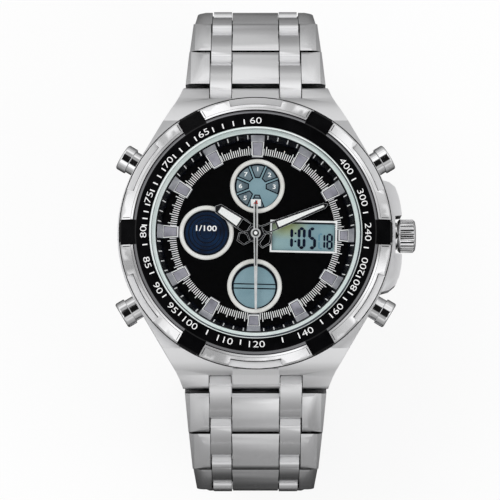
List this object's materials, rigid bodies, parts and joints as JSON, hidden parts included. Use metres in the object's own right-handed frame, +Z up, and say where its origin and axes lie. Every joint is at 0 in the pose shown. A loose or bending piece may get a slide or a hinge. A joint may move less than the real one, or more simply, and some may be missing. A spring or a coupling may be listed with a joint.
{
  "type": "bracelet watch",
  "caption": "Analogue and digital wristwatch with a round steel case, tabbed black scale bezel, side push pieces and a folding clasp bracelet.",
  "frame": {"origin": "centre of the clasp cover's outer face, under the axis of the dial", "axes": "+Z up through the dial, +Y towards twelve o'clock, +X towards the crown"},
  "size_m": [0.0509, 0.0856, 0.0609],
  "materials": {
    "brushed_steel": "brushed stainless steel",
    "polished_steel": "polished stainless steel",
    "black_scale": "gloss black with a printed white scale of plain numbers",
    "black_dial": "gloss black lacquer",
    "marker_silver": "silver with grey luminous filling",
    "frame_silver": "satin silver",
    "display": "liquid crystal display",
    "crystal_glass": "clear mineral glass",
    "clear_gasket": "pale clear nylon",
    "rubber_seal": "black rubber",
    "hand_silver": "polished silver with white luminous filling",
    "pin_steel": "plain steel pin",
    "brass": "plain brass",
    "module_plastic": "dark moulded plastic",
    "holder_plastic": "pale moulded plastic",
    "board_green": "green printed board",
    "cell_steel": "nickel plated cell",
    "copper_wire": "enamelled copper winding"
  },
  "bodies": {
    "head": {"case": "brushed_steel", "case_back": "brushed_steel", "case_back_screws": "polished_steel", "case_back_gasket": "rubber_seal", "bezel": "brushed_steel", "bezel_ring": "black_scale", "crystal": "crystal_glass", "crystal_gasket": "clear_gasket", "chapter_ring": "black_dial", "dial": "black_dial", "hour_markers": "marker_silver", "subdial_rings": "frame_silver", "lcd_frame": "frame_silver", "lcd_panel": "display", "main_plate": "brass", "movement_module": "module_plastic", "movement_ring": "holder_plastic", "circuit_board": "board_green", "battery": "cell_steel", "battery_strap": "pin_steel", "coil": "copper_wire", "crown_tube": "polished_steel", "pusher_tubes": "polished_steel", "lug_pins": "pin_steel"},
    "link_12_1": {"link_12_1": "brushed_steel"},
    "link_12_2": {"link_12_2": "brushed_steel"},
    "link_12_3": {"link_12_3": "brushed_steel"},
    "link_12_4": {"link_12_4": "brushed_steel"},
    "link_12_5": {"link_12_5": "brushed_steel"},
    "link_12_6": {"link_12_6": "brushed_steel"},
    "link_12_7": {"link_12_7": "brushed_steel"},
    "link_12_8": {"link_12_8": "brushed_steel"},
    "link_6_1": {"link_6_1": "brushed_steel"},
    "link_6_2": {"link_6_2": "brushed_steel"},
    "link_6_3": {"link_6_3": "brushed_steel"},
    "link_6_4": {"link_6_4": "brushed_steel"},
    "link_6_5": {"link_6_5": "brushed_steel"},
    "link_6_6": {"link_6_6": "brushed_steel"},
    "link_6_7": {"link_6_7": "brushed_steel"},
    "link_6_8": {"link_6_8": "brushed_steel"},
    "clasp_cover": {"clasp_cover": "brushed_steel"},
    "clasp_middle_leaf": {"clasp_middle_leaf": "polished_steel", "clasp_hinge_pins": "pin_steel"},
    "clasp_inner_leaf": {"clasp_inner_leaf": "polished_steel", "clasp_spring_bar": "pin_steel"},
    "clasp_button_left": {"clasp_button_left": "polished_steel"},
    "clasp_button_right": {"clasp_button_right": "polished_steel"},
    "setting": {"setting_lever": "pin_steel"},
    "crown": {"crown": "polished_steel", "stem": "pin_steel"},
    "minute": {"minute_hand": "hand_silver", "minute_pipe": "brass"},
    "hour": {"hour_hand": "hand_silver", "hour_pipe": "brass"},
    "second": {"second_hand": "hand_silver", "second_staff": "brass"},
    "pusher_2": {"pusher_2": "polished_steel"},
    "pusher_4": {"pusher_4": "polished_steel"},
    "pusher_8": {"pusher_8": "polished_steel"},
    "pusher_10": {"pusher_10": "polished_steel"}
  },
  "joints": [
    {"name": "link_12_1_hinge", "type": "hinge", "parent": "head", "child": "link_12_1", "pos_m": [0, 0.0242, 0.05146], "axis": [1, 0, 0], "range_deg": [0, 35.82]},
    {"name": "link_12_2_hinge", "type": "hinge", "parent": "link_12_1", "child": "link_12_2", "pos_m": [0, 0.03101, 0.04654], "axis": [1, 0, 0], "range_deg": [0, 7.96]},
    {"name": "link_12_3_hinge", "type": "hinge", "parent": "link_12_2", "child": "link_12_3", "pos_m": [0, 0.03708, 0.04073], "axis": [1, 0, 0], "range_deg": [0, 21.89]},
    {"name": "link_12_4_hinge", "type": "hinge", "parent": "link_12_3", "child": "link_12_4", "pos_m": [0, 0.04054, 0.03308], "axis": [1, 0, 0], "range_deg": [0, 23.88]},
    {"name": "link_12_5_hinge", "type": "hinge", "parent": "link_12_4", "child": "link_12_5", "pos_m": [0, 0.0406, 0.02468], "axis": [1, 0, 0], "range_deg": [0, 18.9]},
    {"name": "link_12_6_hinge", "type": "hinge", "parent": "link_12_5", "child": "link_12_6", "pos_m": [0, 0.03794, 0.01671], "axis": [1, 0, 0], "range_deg": [0, 18.9]},
    {"name": "link_12_7_hinge", "type": "hinge", "parent": "link_12_6", "child": "link_12_7", "pos_m": [0, 0.03285, 0.01003], "axis": [1, 0, 0], "range_deg": [0, 19.9]},
    {"name": "link_12_8_hinge", "type": "hinge", "parent": "link_12_7", "child": "link_12_8", "pos_m": [0, 0.02578, 0.00549], "axis": [1, 0, 0], "range_deg": [0, 16.91]},
    {"name": "link_6_1_hinge", "type": "hinge", "parent": "head", "child": "link_6_1", "pos_m": [0, -0.0242, 0.05146], "axis": [-1, 0, 0], "range_deg": [0, 35.82]},
    {"name": "link_6_2_hinge", "type": "hinge", "parent": "link_6_1", "child": "link_6_2", "pos_m": [0, -0.03101, 0.04654], "axis": [-1, 0, 0], "range_deg": [0, 7.96]},
    {"name": "link_6_3_hinge", "type": "hinge", "parent": "link_6_2", "child": "link_6_3", "pos_m": [0, -0.03708, 0.04073], "axis": [-1, 0, 0], "range_deg": [0, 21.89]},
    {"name": "link_6_4_hinge", "type": "hinge", "parent": "link_6_3", "child": "link_6_4", "pos_m": [0, -0.04054, 0.03308], "axis": [-1, 0, 0], "range_deg": [0, 23.88]},
    {"name": "link_6_5_hinge", "type": "hinge", "parent": "link_6_4", "child": "link_6_5", "pos_m": [0, -0.0406, 0.02468], "axis": [-1, 0, 0], "range_deg": [0, 18.9]},
    {"name": "link_6_6_hinge", "type": "hinge", "parent": "link_6_5", "child": "link_6_6", "pos_m": [0, -0.03794, 0.01671], "axis": [-1, 0, 0], "range_deg": [0, 18.9]},
    {"name": "link_6_7_hinge", "type": "hinge", "parent": "link_6_6", "child": "link_6_7", "pos_m": [0, -0.03285, 0.01003], "axis": [-1, 0, 0], "range_deg": [0, 19.9]},
    {"name": "link_6_8_hinge", "type": "hinge", "parent": "link_6_7", "child": "link_6_8", "pos_m": [0, -0.02578, 0.00549], "axis": [-1, 0, 0], "range_deg": [0, 16.91]},
    {"name": "clasp_cover_hinge", "type": "hinge", "parent": "link_6_8", "child": "clasp_cover", "pos_m": [0, -0.0177, 0.0032], "axis": [-1, 0, 0], "range_deg": [0, 15.83]},
    {"name": "clasp_leaf_hinge", "type": "hinge", "parent": "clasp_cover", "child": "clasp_middle_leaf", "pos_m": [0, 0.0132, 0.0022], "axis": [-1, 0, 0], "range_deg": [0, 100]},
    {"name": "clasp_inner_hinge", "type": "hinge", "parent": "clasp_middle_leaf", "child": "clasp_inner_leaf", "pos_m": [0, -0.0112, 0.00275], "axis": [1, 0, 0], "range_deg": [0, 120]},
    {"name": "clasp_button_left_press", "type": "slide", "parent": "clasp_cover", "child": "clasp_button_left", "axis": [1, 0, 0], "range_m": [0, 0.0006], "stiffness_N_per_m": 400, "springref_m": -0.001},
    {"name": "clasp_button_right_press", "type": "slide", "parent": "clasp_cover", "child": "clasp_button_right", "axis": [-1, 0, 0], "range_m": [0, 0.0006], "stiffness_N_per_m": 400, "springref_m": -0.001},
    {"name": "crown_pull", "type": "slide", "parent": "head", "child": "setting", "axis": [1, 0, 0], "range_m": [0, 0.001]},
    {"name": "crown_turn", "type": "hinge", "parent": "setting", "child": "crown", "pos_m": [0.025, 0, 0.05386], "axis": [1, 0, 0], "continuous": true},
    {"name": "minute_turn", "type": "hinge", "parent": "head", "child": "minute", "pos_m": [0, 0, 0.05856], "axis": [0, 0, -1], "continuous": true},
    {"name": "hour_turn", "type": "hinge", "parent": "head", "child": "hour", "pos_m": [0, 0, 0.05856], "axis": [0, 0, -1], "continuous": true},
    {"name": "second_turn", "type": "hinge", "parent": "head", "child": "second", "pos_m": [0, 0, 0.05856], "axis": [0, 0, -1], "continuous": true},
    {"name": "pusher_2_press", "type": "slide", "parent": "head", "child": "pusher_2", "axis": [-0.8572, -0.515, 0], "range_m": [0, 0.0008], "stiffness_N_per_m": 800, "springref_m": -0.001},
    {"name": "pusher_4_press", "type": "slide", "parent": "head", "child": "pusher_4", "axis": [-0.8572, 0.515, 0], "range_m": [0, 0.0008], "stiffness_N_per_m": 800, "springref_m": -0.001},
    {"name": "pusher_8_press", "type": "slide", "parent": "head", "child": "pusher_8", "axis": [0.8572, 0.515, 0], "range_m": [0, 0.0008], "stiffness_N_per_m": 800, "springref_m": -0.001},
    {"name": "pusher_10_press", "type": "slide", "parent": "head", "child": "pusher_10", "axis": [0.8572, -0.515, 0], "range_m": [0, 0.0008], "stiffness_N_per_m": 800, "springref_m": -0.001}
  ],
  "couplings": [
    {"joint": "hour_turn", "follows": "minute_turn", "ratio": 0.083333}
  ]
}
